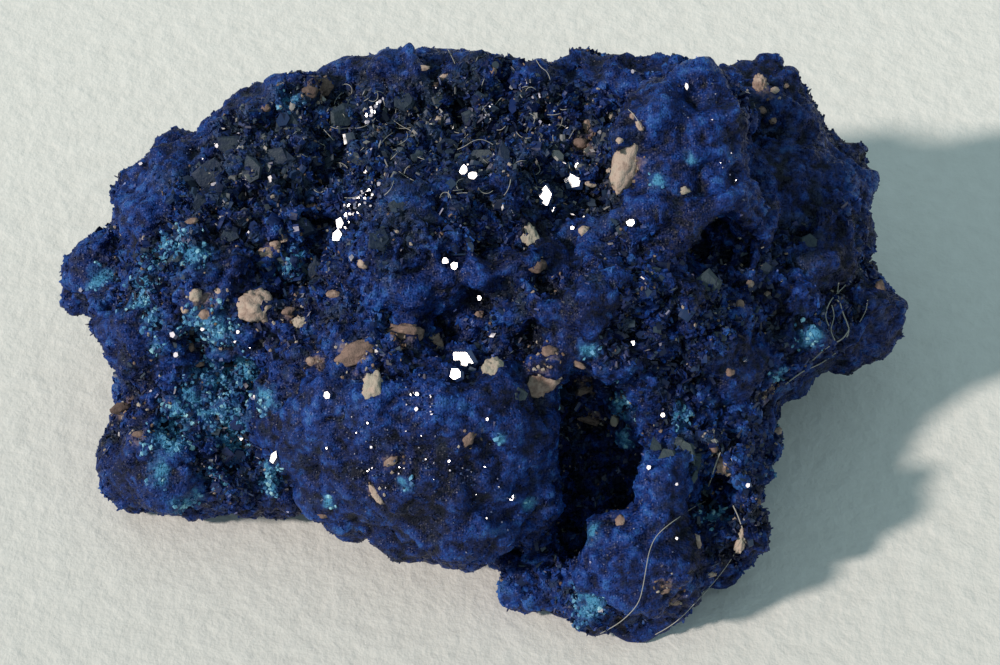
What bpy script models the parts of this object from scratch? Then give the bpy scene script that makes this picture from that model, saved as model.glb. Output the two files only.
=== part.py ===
"""Azurite nodule: one knobbly blue stone of grown-together crystals, about 42 mm long.

Metres, +Z up. The origin is under the middle of the stone, on the surface that it rests on.
+X runs along the stone's length, towards its blunt end, and +Y towards its back.
"""

import math
import random

import bmesh
import bpy
from mathutils import Euler, Matrix, Vector
from mathutils.bvhtree import BVHTree

MM = 0.001
NAME = "azurite_nodule"

# Each lobe is a rounded knob of crystals: its middle, its half sizes and its turn about Z.
# All are in millimetres and degrees, with Z = 0 close to the surface the stone rests on.
LOBES = {
    "core": ((0.0, 1.5, 7.5), (16.5, 9.0, 7.6), 0),
    "back mass": ((-1.0, 5.5, 8.0), (14.5, 8.0, 7.6), 0),
    "left shoulder": ((-13.0, 3.6, 8.0), (6.6, 7.6, 6.8), 15),
    "left bank": ((-15.6, 6.9, 9.7), (4.1, 4.0, 3.8), 0),
    "left wall": ((-15.8, 0.0, 6.6), (4.2, 4.4, 6.2), 0),
    "left beak": ((-20.2, 3.0, 8.3), (2.5, 2.3, 2.4), 0),
    "left cheek": ((-17.8, 0.6, 7.6), (2.8, 3.2, 3.6), 0),
    "left foot": ((-16.4, -4.6, 4.1), (3.9, 3.1, 4.1), -10),
    "left instep": ((-12.2, -4.6, 3.4), (3.8, 2.9, 3.4), 0),
    "belly": ((-4.4, -5.8, 7.0), (8.2, 5.0, 6.8), -24),
    "belly right end": ((-0.4, -7.4, 6.8), (3.4, 3.8, 6.6), 0),
    "belly left end": ((-9.0, -3.8, 6.2), (3.8, 3.8, 6.0), 0),
    "central dome": ((-2.6, 1.2, 12.0), (6.0, 5.0, 5.6), 0),
    "cross ridge": ((5.2, -2.4, 11.4), (6.4, 3.4, 4.6), 12),
    "saddle": ((2.8, 3.2, 12.2), (3.4, 3.2, 3.0), 0),
    "crown": ((8.8, 5.9, 14.4), (4.2, 4.2, 5.2), 0),
    "crown brow": ((9.2, 2.2, 13.0), (3.9, 3.4, 4.6), 0),
    "back rim left": ((-10.4, 8.8, 11.2), (5.6, 4.2, 4.4), 20),
    "back rim middle": ((-4.0, 10.2, 11.8), (5.6, 3.6, 4.7), 0),
    "back rim right": ((4.8, 10.2, 12.4), (6.8, 3.4, 4.3), 0),
    "back corner": ((13.4, 11.2, 12.3), (3.0, 2.5, 3.1), 0),
    "right shoulder": ((13.8, 7.2, 8.3), (5.7, 6.3, 5.2), 0),
    "right ear": ((17.7, 9.8, 9.4), (2.2, 2.4, 2.4), 0),
    "right flank": ((12.0, 0.8, 7.2), (5.4, 4.4, 4.8), 0),
    "right heel": ((17.6, 2.1, 6.0), (3.6, 2.7, 3.0), 10),
    "right knob": ((13.2, -3.2, 4.4), (2.0, 1.9, 2.3), 0),
    "right foot outer": ((10.8, -8.2, 4.4), (2.6, 3.6, 4.6), 0),
    "right foot front": ((6.6, -11.0, 3.8), (3.6, 3.3, 4.0), 35),
    "right foot tongue": ((7.4, -9.0, 6.0), (2.4, 3.4, 3.6), -25),
    "right ground": ((9.2, -4.6, 4.6), (4.6, 4.2, 4.8), 0),
    "pit floor": ((3.8, -8.2, 1.8), (3.4, 3.4, 2.2), 0),
    "small toe": ((2.4, -10.8, 2.0), (2.3, 1.8, 2.3), 0),
}
LOBE_ROUNDNESS = 3
SKIN_GRAIN = 0.40 * MM
SOFTENING = 6

# Hollows between the knobs, given as the lobes are.
HOLLOWS = {
    "front cave": ((4.4, -6.2, 8.4), (2.2, 2.6, 3.6), 0),
    "front cave foot": ((3.4, -8.9, 5.2), (1.2, 2.6, 3.4), 15),
    "front cave side": ((5.8, -7.6, 6.6), (1.1, 1.6, 2.6), 0),
    "crown hollow": ((10.7, 0.7, 14.0), (1.7, 2.3, 2.4), 20),
    "crown trough": ((12.7, 5.0, 15.2), (0.7, 1.6, 1.6), 20),
    "crown left nook": ((4.9, 6.6, 16.4), (1.1, 1.5, 1.4), 0),
    "dome moat upper": ((-8.4, 6.2, 15.0), (1.2, 2.4, 2.2), 0),
    "dome moat lower": ((-8.7, 1.6, 14.2), (0.9, 2.0, 1.8), -10),
    "back valley": ((-1.4, 7.0, 17.4), (8.6, 2.8, 2.8), 0),
    "cross crease": ((0.4, 0.6, 17.4), (1.0, 1.3, 2.2), 30),
    "belly groove": ((-2.2, -3.9, 14.2), (6.4, 0.9, 2.6), -12),
    "foot cleft": ((10.2, -9.4, 7.0), (1.2, 2.3, 3.1), 0),
    "instep gap": ((-11.6, -8.2, 2.0), (1.5, 1.6, 2.8), 0),
    "left nook": ((-16.0, -5.4, 8.0), (1.3, 1.0, 1.7), 0),
    "left crease": ((-12.6, -4.0, 9.6), (1.2, 1.0, 2.2), 30),
}

# Unevenness of the skin: the spacing and the height of each kind of knob, coarse to fine.
SWELL_SPACING = 4.0 * MM
SWELL_HEIGHT = 1.8 * MM
GRAPE_SPACING = 2.9 * MM
GRAPE_HEIGHT = 1.3 * MM
BEAD_SPACING = 1.3 * MM
BEAD_HEIGHT = 0.7 * MM
ROUGH_GRAIN = 0.35 * MM
KEPT_FACETS = 0.080

# The surface that the stone rests on cuts this far into the lowest knobs.
REST_HEIGHT = 0.55 * MM

# Flat crystals: how many stand in each patch, the patch's middle and its half sizes (mm).
BLADE_PATCHES = {
    "valley left": (15, (-7.0, 7.6), (5.0, 3.4)),
    "valley right": (13, (1.6, 7.4), (4.0, 3.4)),
    "left terrace": (13, (-13.6, 3.0), (4.0, 4.6)),
    "dome": (7, (-1.6, 1.6), (4.6, 3.0)),
    "right side": (9, (14.0, 3.6), (3.6, 5.6)),
    "behind the pit": (3, (8.6, -4.6), (3.4, 1.8)),
}
BLADE_LENGTHS = (1.1 * MM, 1.9 * MM)
BLADE_TIP = (20, 65)
BLADE_ROLL = (-50, 50)
BLADE_WIDTH = 0.72
BLADE_THICKNESS = 0.26
BLADE_TAPER = 0.8
BLADE_SPACING = 1.5 * MM
BLADE_LIFT = 0.06
BLADE_TRIES = 400
BLADE_SEED = 12

# Clay grains stuck in the creases: where each one is in plan, its half sizes and its turn.
CLAY_GRAINS = {
    "oval by the crown": ((5.9, 4.6), (0.7, 1.7, 0.6), -20),
    "belly groove right": ((2.1, -5.6), (0.8, 1.0, 0.6), 10),
    "belly groove left": ((-7.0, -3.4), (1.3, 0.6, 0.5), 15),
    "dome foot": ((-4.5, -3.4), (0.9, 0.6, 0.5), 0),
    "left terrace": ((-11.8, -1.0), (0.8, 0.8, 0.5), 0),
    "belly top": ((-6.1, -5.2), (0.6, 0.9, 0.5), 0),
    "rim": ((-9.0, 10.6), (0.8, 0.6, 0.5), 20),
    "right foot": ((10.8, -6.7), (0.5, 0.5, 0.5), 0),
    "corner": ((13.2, 11.0), (0.4, 0.6, 0.5), 10),
}
CLAY_ROUNDNESS = 2


def linked_object(name, shapes, collection):
    """An object made of the shapes gathered so far, in this collection."""
    mesh = bpy.data.meshes.new(name)
    shapes.to_mesh(mesh)
    shapes.free()
    made = bpy.data.objects.new(name, mesh)
    collection.objects.link(made)
    return made


def placed(centre, half_sizes, turn):
    """The matrix that takes a unit ball to this place, these half sizes and this turn."""
    return Matrix.LocRotScale(centre, Euler((0, 0, math.radians(turn))), Vector(half_sizes))


def egg_shapes(name, table, collection):
    """One object that holds an egg-shaped body for each row of the table."""
    shapes = bmesh.new()
    for centre, half_sizes, turn in table.values():
        place = placed(Vector(centre) * MM, Vector(half_sizes) * MM, turn)
        bmesh.ops.create_icosphere(shapes, subdivisions=LOBE_ROUNDNESS, radius=1, matrix=place)
    return linked_object(name, shapes, collection)


def voxel_skin(stone, size, name):
    """One closed skin round everything that overlaps."""
    skin = stone.modifiers.new(name, "REMESH")
    skin.mode = "VOXEL"
    skin.voxel_size = size


def combine(stone, cutter, operation):
    """A live Boolean of the stone with a helper that is kept out of sight."""
    cutter.parent = stone
    cutter.hide_render = True
    cutter.display_type = "WIRE"
    step = stone.modifiers.new(cutter.name, "BOOLEAN")
    step.operation = operation
    step.solver = "EXACT"
    step.object = cutter


def raise_pattern(stone, name, kind, spacing, height, middle):
    """Push the skin in and out by a pattern of this spacing."""
    pattern = bpy.data.textures.new(name, kind)
    pattern.noise_scale = spacing
    raised = stone.modifiers.new(name, "DISPLACE")
    raised.texture = pattern
    raised.texture_coords = "LOCAL"
    raised.strength = height
    raised.mid_level = middle
    return pattern


def knobs(stone, name, spacing, height):
    """Rounded knobs: each is a dome over one cell of a Voronoi pattern."""
    cells = raise_pattern(stone, name, "VORONOI", spacing, -height, 0.25)
    cells.distance_metric = "DISTANCE_SQUARED"


def surface(stone):
    """The stone's skin as it stands, ready for rays."""
    return BVHTree.FromObject(stone, bpy.context.evaluated_depsgraph_get())


def drop(skin, x, y):
    """The point of the skin straight below this place in plan, and the way it faces."""
    point, normal, _, _ = skin.ray_cast(Vector((x, y, 1)), Vector((0, 0, -1)))
    return point, normal


def add_blade(shapes, middle, turn, length):
    """A flat six-sided crystal with slanted edges, longest along its own Y."""
    half_sizes = Vector((BLADE_WIDTH, 1, BLADE_THICKNESS)) * length / 2
    bmesh.ops.create_cone(
        shapes, cap_ends=True, segments=6, radius1=1, radius2=BLADE_TAPER, depth=2,
        matrix=Matrix.LocRotScale(middle, turn, half_sizes),
    )


def blades(skin, collection):
    """Flat crystals that stand at odd angles in the crusty patches, none touching another."""
    chance = random.Random(BLADE_SEED)
    shapes = bmesh.new()
    taken = []
    for count, middle, half_sizes in BLADE_PATCHES.values():
        full = len(taken) + count
        for _ in range(BLADE_TRIES):
            x, y = (MM * (m + h * chance.uniform(-1, 1)) for m, h in zip(middle, half_sizes))
            foot, normal = drop(skin, x, y)
            if len(taken) == full or any((foot - t).length < BLADE_SPACING for t in taken):
                continue
            length = chance.uniform(*BLADE_LENGTHS)
            tip, roll, spin = (math.radians(chance.uniform(*r))
                               for r in (BLADE_TIP, BLADE_ROLL, (0, 360)))
            turn = normal.to_track_quat("Z", "Y") @ Euler((tip, roll, spin)).to_quaternion()
            add_blade(shapes, foot + normal * length * BLADE_LIFT, turn, length)
            taken.append(foot)
    return linked_object("blades", shapes, collection)


def clay(skin, collection):
    """Rounded clay grains, half sunk where they are stuck."""
    shapes = bmesh.new()
    for (x, y), half_sizes, turn in CLAY_GRAINS.values():
        point, _ = drop(skin, x * MM, y * MM)
        place = placed(point, Vector(half_sizes) * MM, turn)
        bmesh.ops.create_icosphere(shapes, subdivisions=CLAY_ROUNDNESS, radius=1, matrix=place)
    return linked_object("clay grains", shapes, collection)


def rest_block(collection):
    """The block that the stone rests on: what is inside it is taken off the stone."""
    shapes = bmesh.new()
    place = Matrix.LocRotScale(Vector((0, 0, REST_HEIGHT - 10 * MM)), None,
                               Vector((80, 60, 20)) * MM)
    bmesh.ops.create_cube(shapes, size=1, matrix=place)
    return linked_object("rest block", shapes, collection)


def azurite():
    """Deep blue stone with a dull, sugary face."""
    blue = bpy.data.materials.new("azurite")
    blue.use_nodes = True
    shader = blue.node_tree.nodes["Principled BSDF"]
    shader.inputs["Base Color"].default_value = (0.012, 0.035, 0.21, 1)
    shader.inputs["Roughness"].default_value = 0.55
    return blue


def centre_on_origin(stone):
    """Stand the stone on Z = 0 with the origin under its middle."""
    shape = stone.evaluated_get(bpy.context.evaluated_depsgraph_get())
    corners = [Vector(corner) for corner in shape.bound_box]
    low = Vector([min(corner[axis] for corner in corners) for axis in range(3)])
    high = Vector([max(corner[axis] for corner in corners) for axis in range(3)])
    stone.location = (-(low.x + high.x) / 2, -(low.y + high.y) / 2, -low.z)


def main():
    for old in list(bpy.data.objects):
        bpy.data.objects.remove(old, do_unlink=True)
    stones = bpy.data.collections.new("azurite specimen")
    cutters = bpy.data.collections.new("cutters")
    for collection in (stones, cutters):
        bpy.context.scene.collection.children.link(collection)
    cutters.hide_render = True

    stone = egg_shapes(NAME, LOBES, stones)
    voxel_skin(stone, SKIN_GRAIN, "knobs in one skin")
    hollows = egg_shapes("hollows", HOLLOWS, cutters)
    voxel_skin(hollows, SKIN_GRAIN, "hollows in one skin")
    combine(stone, hollows, "DIFFERENCE")
    voxel_skin(stone, SKIN_GRAIN, "carved skin")
    soft = stone.modifiers.new("soften", "SMOOTH")
    soft.iterations = SOFTENING

    raise_pattern(stone, "swell", "CLOUDS", SWELL_SPACING, SWELL_HEIGHT, 0.5)
    knobs(stone, "grapes", GRAPE_SPACING, GRAPE_HEIGHT)
    knobs(stone, "beads", BEAD_SPACING, BEAD_HEIGHT)
    voxel_skin(stone, ROUGH_GRAIN, "rough skin")
    thin = stone.modifiers.new("facets", "DECIMATE")
    thin.ratio = KEPT_FACETS

    skin = surface(stone)
    combine(stone, blades(skin, cutters), "UNION")
    combine(stone, clay(skin, cutters), "UNION")
    combine(stone, rest_block(cutters), "DIFFERENCE")
    stone.data.materials.append(azurite())
    centre_on_origin(stone)


main()
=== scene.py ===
import math
import random

import bmesh
import bpy
import numpy as np
from mathutils import Euler, Matrix, Vector, noise
from mathutils.bvhtree import BVHTree


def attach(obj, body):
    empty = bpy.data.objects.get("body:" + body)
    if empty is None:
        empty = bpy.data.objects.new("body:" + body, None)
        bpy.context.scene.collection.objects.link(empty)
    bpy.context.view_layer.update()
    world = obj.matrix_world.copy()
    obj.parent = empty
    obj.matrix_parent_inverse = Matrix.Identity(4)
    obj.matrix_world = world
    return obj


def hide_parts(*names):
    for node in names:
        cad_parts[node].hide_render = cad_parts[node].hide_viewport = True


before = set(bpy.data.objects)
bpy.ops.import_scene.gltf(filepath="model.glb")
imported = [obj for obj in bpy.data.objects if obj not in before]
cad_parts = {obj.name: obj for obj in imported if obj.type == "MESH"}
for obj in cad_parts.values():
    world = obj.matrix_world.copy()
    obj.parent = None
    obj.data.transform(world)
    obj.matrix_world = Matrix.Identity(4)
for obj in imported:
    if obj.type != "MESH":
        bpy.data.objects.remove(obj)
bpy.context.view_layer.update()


# The eye: the stone is looked down on from the front, from a little over ten centimetres. In
# the tables below a spot is in pixels across and down this view, and a size in millimetres.
MM = 0.001
VIEW_CENTRE = Vector((0.68, 0.02, 7.45)) * MM
VIEW_DISTANCE = 111 * MM
VIEW_ELEVATION = math.radians(52)
VIEW_LENS = 80
PICTURE = (1000, 665)
SENSOR = 36

scene = bpy.context.scene
toward_eye = Vector((0, -math.cos(VIEW_ELEVATION), math.sin(VIEW_ELEVATION)))
eye = VIEW_CENTRE + toward_eye * VIEW_DISTANCE
camera_data = bpy.data.cameras.new("eye")
camera_data.lens = VIEW_LENS
camera_data.sensor_width = SENSOR
camera_data.clip_start = 0.005
camera_data.clip_end = 10
camera = bpy.data.objects.new("eye", camera_data)
camera.location = eye
camera.rotation_mode = "QUATERNION"
camera.rotation_quaternion = (-toward_eye).to_track_quat("-Z", "Y")
scene.collection.objects.link(camera)
scene.camera = camera

# The light: a low, warm window on the left, a little to the front and wide enough to soften
# the edges of the shadows, and a cool sky all round that fills them.
LIGHT_FROM = Vector((-0.752, -0.319, 0.574)).normalized()
LIGHT_STRENGTH = 3.4
LIGHT_WIDTH = math.radians(5)
LIGHT_TONE = (1.0, 0.895, 0.82)
SKY_STRENGTH = 0.62
SKY_TONE = (0.50, 0.69, 0.74, 1)

sun_data = bpy.data.lights.new("low window", "SUN")
sun_data.energy = LIGHT_STRENGTH
sun_data.angle = LIGHT_WIDTH
sun_data.color = LIGHT_TONE
sun = bpy.data.objects.new("low window", sun_data)
sun.rotation_mode = "QUATERNION"
sun.rotation_quaternion = LIGHT_FROM.to_track_quat("Z", "Y")
scene.collection.objects.link(sun)

world = bpy.data.worlds.new("room")
world.use_nodes = True
sky = world.node_tree.nodes["Background"]
sky.inputs["Color"].default_value = SKY_TONE
sky.inputs["Strength"].default_value = SKY_STRENGTH
scene.world = world
scene.view_settings.view_transform = "Standard"


# The cloth: a wide sheet of pale felt with a short, uneven nap. Its colour is painted a little
# darker toward the front as painted shade, where less of the window's light reaches it.
FELT_HALF_WIDTH = 1
FELT_FRONT, FELT_BACK = -26 * MM, 20 * MM
FELT_FRONT_SHADE = 0.16
FELT_TONES = ((0.68, 0.67, 0.63, 1), (0.82, 0.81, 0.77, 1))
FELT_DARK = (0.30, 0.27, 0.25, 1)


class Socket:
    """One output of a node, which adds Math nodes when it is used in a sum."""

    def __init__(self, tree, link):
        self.tree, self.link = tree, link

    def _math(self, operation, *terms):
        return self.tree.node("ShaderNodeMath", {"operation": operation}, dict(enumerate(terms)))

    def __add__(self, other):
        return self._math("ADD", self, other)

    def __radd__(self, other):
        return self._math("ADD", other, self)

    def __sub__(self, other):
        return self._math("SUBTRACT", self, other)

    def __rsub__(self, other):
        return self._math("SUBTRACT", other, self)

    def __mul__(self, other):
        return self._math("MULTIPLY", self, other)

    def __rmul__(self, other):
        return self._math("MULTIPLY", other, self)

    def __truediv__(self, other):
        return self._math("DIVIDE", self, other)

    def __rtruediv__(self, other):
        return self._math("DIVIDE", other, self)

    def __pow__(self, other):
        return self._math("POWER", self, other)


class Tree:
    """A node tree of any kind. node() adds one node and gives back one of its outputs."""

    def __init__(self, tree):
        self.tree = tree

    def node(self, kind, settings=None, values=None, output=0):
        made = self.tree.nodes.new(kind)
        for name, value in (settings or {}).items():
            if name == "stops":
                ramp = made.color_ramp
                while len(ramp.elements) < len(value):
                    ramp.elements.new(0.5)
                for stop, (place, colour) in zip(ramp.elements, value):
                    stop.position, stop.color = place, colour
            else:
                setattr(made, name, value)
        for key, value in (values or {}).items():
            self.put(made.inputs[key], value)
        return Socket(self, made.outputs[output])

    def put(self, socket, value):
        if isinstance(value, Socket):
            self.tree.links.new(value.link, socket)
        else:
            socket.default_value = value


class Finish(Tree):
    """A material. surface() sets its Principled shader."""

    def __init__(self, name):
        self.material = bpy.data.materials.new(name)
        self.material.use_nodes = True
        super().__init__(self.material.node_tree)
        self.shader = self.tree.nodes["Principled BSDF"]

    def surface(self, **values):
        for name, value in values.items():
            self.put(self.shader.inputs[name.replace("_", " ")], value)

    def place(self):
        return self.node("ShaderNodeTexCoord", output="Object")

    def noise(self, place, scale, detail=2, roughness=0.5):
        return self.node("ShaderNodeTexNoise", None, {
            "Vector": place, "Scale": scale, "Detail": detail, "Roughness": roughness})

    def range(self, value, low, high, to_low=0.0, to_high=1.0):
        return self.node("ShaderNodeMapRange", {"interpolation_type": "SMOOTHSTEP"}, {
            "Value": value, "From Min": low, "From Max": high,
            "To Min": to_low, "To Max": to_high})

    def blend(self, share, first, second):
        return self.node("ShaderNodeMix", {"data_type": "RGBA"}, {0: share, 6: first, 7: second}, 2)

    def ramp(self, stops, value):
        return self.node("ShaderNodeValToRGB", {"stops": stops}, {"Fac": value})

    def attribute(self, name):
        return self.node("ShaderNodeAttribute", {"attribute_name": name}, output="Fac")

    def bump(self, height, distance, strength=1.0):
        return self.node("ShaderNodeBump", None, {
            "Height": height, "Distance": distance, "Strength": strength})


ground_mesh = bpy.data.meshes.new("felt")
ground_mesh.from_pydata([(x * FELT_HALF_WIDTH, y * FELT_HALF_WIDTH, 0)
                         for x, y in ((-1, -1), (1, -1), (1, 1), (-1, 1))],
                        [], [(0, 1, 2, 3)])
ground = bpy.data.objects.new("felt", ground_mesh)
scene.collection.objects.link(ground)
felt = Finish("felt")
nap = felt.noise(felt.place(), 900, 4, 0.6)
backward = felt.node("ShaderNodeSeparateXYZ", None, {0: felt.place()}, 1)
# Painted shade: the felt's colour darkens toward the front.
darkening = felt.range(backward, FELT_FRONT, FELT_BACK, FELT_FRONT_SHADE, 0.0)
felt.surface(
    Base_Color=felt.blend(darkening, felt.blend(nap, *FELT_TONES), FELT_DARK),
    Roughness=0.95,
    Normal=felt.bump(nap, 0.25 * MM, 0.6),
)
ground_mesh.materials.append(felt.material)


# The body of the stone: azurite crystals grown together into one knobbly mass. Its skin is the
# solid's, raised or sunk in full and lean patches, rounded in velvet ones and in blocky steps
# in crusty ones, and dusted or stained in the others; its colour is darkened as painted shade
# in its hollows, its small pits and a set of shaded patches. A patch is its spot and its radius.
BODY_GRAIN = 0.24 * MM
BODY_SMOOTHING = 8
VELVET_PATCHES = (
    (430, 500, 6.0), (340, 470, 5.0), (500, 440, 4.0), (690, 100, 3.4), (700, 180, 3.4),
    (640, 560, 3.6), (665, 510, 2.6), (150, 490, 2.6), (75, 280, 1.7), (600, 312, 1.0),
    (570, 340, 1.8), (170, 150, 2.8), (200, 125, 2.8), (135, 205, 1.8),
    (245, 92, 2.6), (295, 72, 2.4), (350, 65, 2.6), (400, 62, 2.2), (450, 55, 2.0),
    (510, 62, 1.8), (560, 62, 1.8), (620, 60, 2.0), (790, 90, 2.0), (870, 200, 2.0),
    (890, 320, 2.4), (110, 330, 1.6), (440, 290, 1.6), (742, 62, 1.8), (780, 170, 2.6),
    (820, 150, 2.4), (745, 150, 2.0), (835, 260, 1.8), (740, 370, 1.6), (585, 240, 1.4),
    (588, 54, 1.6), (850, 148, 1.8), (862, 176, 1.6),
    (550, 252, 1.3), (515, 264, 1.3), (480, 275, 1.2), (445, 287, 1.2), (412, 301, 1.2),
)
CRUSTY_PATCHES = (
    (240, 130, 3.2), (300, 110, 3.0), (350, 150, 3.2), (420, 100, 3.2), (430, 150, 3.0),
    (500, 100, 3.0), (520, 150, 2.6), (560, 100, 2.4), (575, 160, 2.0), (200, 180, 2.6),
    (270, 190, 2.8), (160, 240, 2.0), (300, 260, 2.2), (480, 230, 1.8), (520, 260, 1.6),
    (740, 100, 1.4), (850, 310, 1.4), (750, 525, 2.0),
    (720, 460, 1.8), (560, 400, 1.6), (230, 470, 2.0), (390, 350, 1.4), (470, 370, 1.4),
    (620, 345, 1.6), (655, 320, 2.0), (690, 375, 1.6), (725, 325, 1.8), (650, 270, 1.2),
)
TURQUOISE_PATCHES = (
    (164, 243, 1.2), (155, 254, 1.0), (180, 246, 1.2), (194, 250, 1.0), (99, 279, 0.9),
    (210, 330, 1.6), (240, 370, 1.6), (140, 290, 1.4), (230, 420, 1.6), (170, 440, 1.4),
    (149, 317, 0.7), (157, 350, 0.6), (290, 100, 0.8), (293, 262, 0.9), (203, 371, 0.7),
    (193, 398, 1.0), (177, 414, 1.0), (214, 381, 0.7), (232, 378, 0.6), (263, 399, 0.9),
    (234, 446, 0.8), (187, 498, 0.9), (271, 472, 0.7), (271, 487, 0.7), (214, 480, 0.7),
    (159, 470, 0.8), (330, 500, 0.45), (405, 482, 0.45), (500, 436, 0.4), (532, 505, 0.5),
    (625, 438, 0.7), (621, 409, 0.9), (478, 568, 0.9), (592, 533, 0.7), (590, 600, 1.2),
    (713, 515, 0.8), (681, 418, 0.7), (811, 336, 0.8), (783, 379, 0.7), (657, 181, 0.45),
    (691, 160, 0.4), (588, 350, 0.6),
)
CLAY_PATCHES = (
    (355, 357, 1.2), (405, 338, 1.0), (540, 372, 1.0), (582, 388, 0.9), (595, 420, 0.9),
    (550, 352, 0.8), (205, 305, 1.0), (274, 248, 0.8), (318, 91, 1.0), (119, 408, 1.0),
    (139, 435, 0.9), (777, 400, 0.9), (740, 305, 0.7), (664, 589, 0.8), (677, 603, 0.8),
    (585, 130, 0.9), (580, 142, 0.8), (468, 438, 0.8), (391, 461, 0.7), (376, 494, 0.7),
    (313, 361, 0.7), (288, 311, 0.7), (630, 165, 1.0), (722, 465, 0.7), (765, 90, 0.9),
)
DUSTY_PATCHES = (
    (350, 120, 5.0), (430, 130, 6.0), (520, 150, 5.0), (400, 200, 3.0), (240, 150, 4.5),
    (270, 110, 3.0), (590, 210, 2.4), (760, 100, 2.0), (800, 250, 1.6), (700, 450, 1.6),
)
# Painted shade: spots where the stone's colour is darkened for recesses and knobs that lie in
# shade.
SHADE_PAINTED_PATCHES = (
    (750, 525, 2.2), (735, 500, 1.6), (695, 225, 1.3), (715, 245, 1.6), (735, 262, 1.3),
    (640, 330, 2.0), (830, 250, 2.6), (600, 440, 2.6), (420, 500, 3.0), (700, 335, 2.0),
    (307, 285, 1.7), (178, 434, 1.2), (245, 466, 1.2), (312, 177, 1.6), (345, 252, 1.2),
    (500, 250, 1.6), (560, 300, 1.6), (130, 370, 1.4), (600, 150, 1.3), (612, 196, 1.5),
    (590, 118, 1.0), (540, 222, 1.4), (490, 244, 1.2), (472, 306, 1.1), (520, 342, 1.1),
    (545, 285, 0.9), (735, 560, 1.6), (700, 300, 1.8), (620, 300, 1.8), (680, 385, 1.8),
    (745, 300, 1.8), (740, 350, 1.6),
)
FULL_PATCHES = (
    (126, 228, 2.2), (106, 244, 1.4), (300, 84, 1.6), (345, 74, 1.4), (490, 66, 1.2),
    (525, 72, 1.2), (700, 72, 1.4), (820, 128, 1.2), (478, 552, 2.0), (514, 590, 1.4),
    (590, 618, 1.4), (300, 502, 1.8), (318, 503, 1.8), (112, 480, 1.4), (160, 500, 1.4),
    (549, 200, 1.0), (655, 216, 1.0), (620, 226, 1.1), (585, 240, 1.1), (550, 252, 1.1),
    (515, 264, 1.1), (480, 275, 1.0), (445, 287, 1.0), (412, 301, 1.0), (380, 316, 1.0),
    (620, 292, 0.9), (580, 300, 0.9), (545, 308, 0.9), (515, 322, 0.8),
)
LEAN_PATCHES = (
    (583, 62, 1.6), (582, 48, 1.6), (640, 58, 1.2), (765, 66, 1.6), (800, 85, 1.2),
    (850, 146, 1.9), (905, 305, 2.0), (874, 354, 1.9), (840, 370, 1.4), (818, 376, 2.0),
    (800, 389, 2.0), (780, 430, 2.2), (777, 462, 2.2), (772, 505, 2.2), (740, 588, 2.0),
    (645, 630, 1.6), (72, 298, 1.6), (105, 350, 1.2), (105, 440, 1.4), (180, 132, 1.2),
    (204, 122, 1.2), (124, 182, 1.5), (526, 197, 1.1),
    (520, 238, 0.9), (490, 246, 1.1), (458, 258, 0.9), (425, 270, 0.8), (580, 272, 0.8),
    (545, 284, 0.9), (508, 294, 0.9), (474, 306, 0.9), (520, 342, 1.0),
)
FULL_SHARE, LEAN_SHARE = 1.3, 1.7
PATCH_FADE = 1.3
UNSEEN_SPACING = 4.5
UNSEEN_TURN = 2
UNSEEN_LEAST, UNSEEN_GAIN = 0.25, 4
HOLLOW_REACH, HOLLOW_DEPTH = 28, 0.5 * MM
PIT_REACH, PIT_DEPTH = 5, 0.10 * MM
USUAL_CRUST = 0.55
CRUSTY_GAIN, VELVET_LOSS, HOLLOW_GAIN = 0.6, 0.9, 1.2
SIDE_CRUST, LEVEL_CRUST, LEAST_CRUST = 0.75, 0.7, 0.15
FOOT_HEIGHT = 0.8 * MM
WELD_GAP = 0.001 * MM
AZURITE_BLUES = ((0.0, (0.0006, 0.0022, 0.013, 1)), (0.35, (0.0016, 0.0083, 0.060, 1)),
                 (0.6, (0.0034, 0.021, 0.132, 1)), (0.8, (0.0075, 0.042, 0.22, 1)),
                 (1.0, (0.022, 0.092, 0.32, 1)))
SLATE_FILM = ((0.006, 0.013, 0.026, 1), (0.033, 0.054, 0.090, 1))
# The near black below is painted shade, laid on the stone's colour in its hollows.
HOLLOW_PAINTED_SHADE = (0.0024, 0.0048, 0.017, 1)
THIN_TURQUOISE, THICK_TURQUOISE = (0.015, 0.070, 0.21, 1), (0.058, 0.24, 0.41, 1)
CLAY_FILM = ((0.12, 0.075, 0.055, 1), (0.30, 0.21, 0.16, 1))


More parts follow.
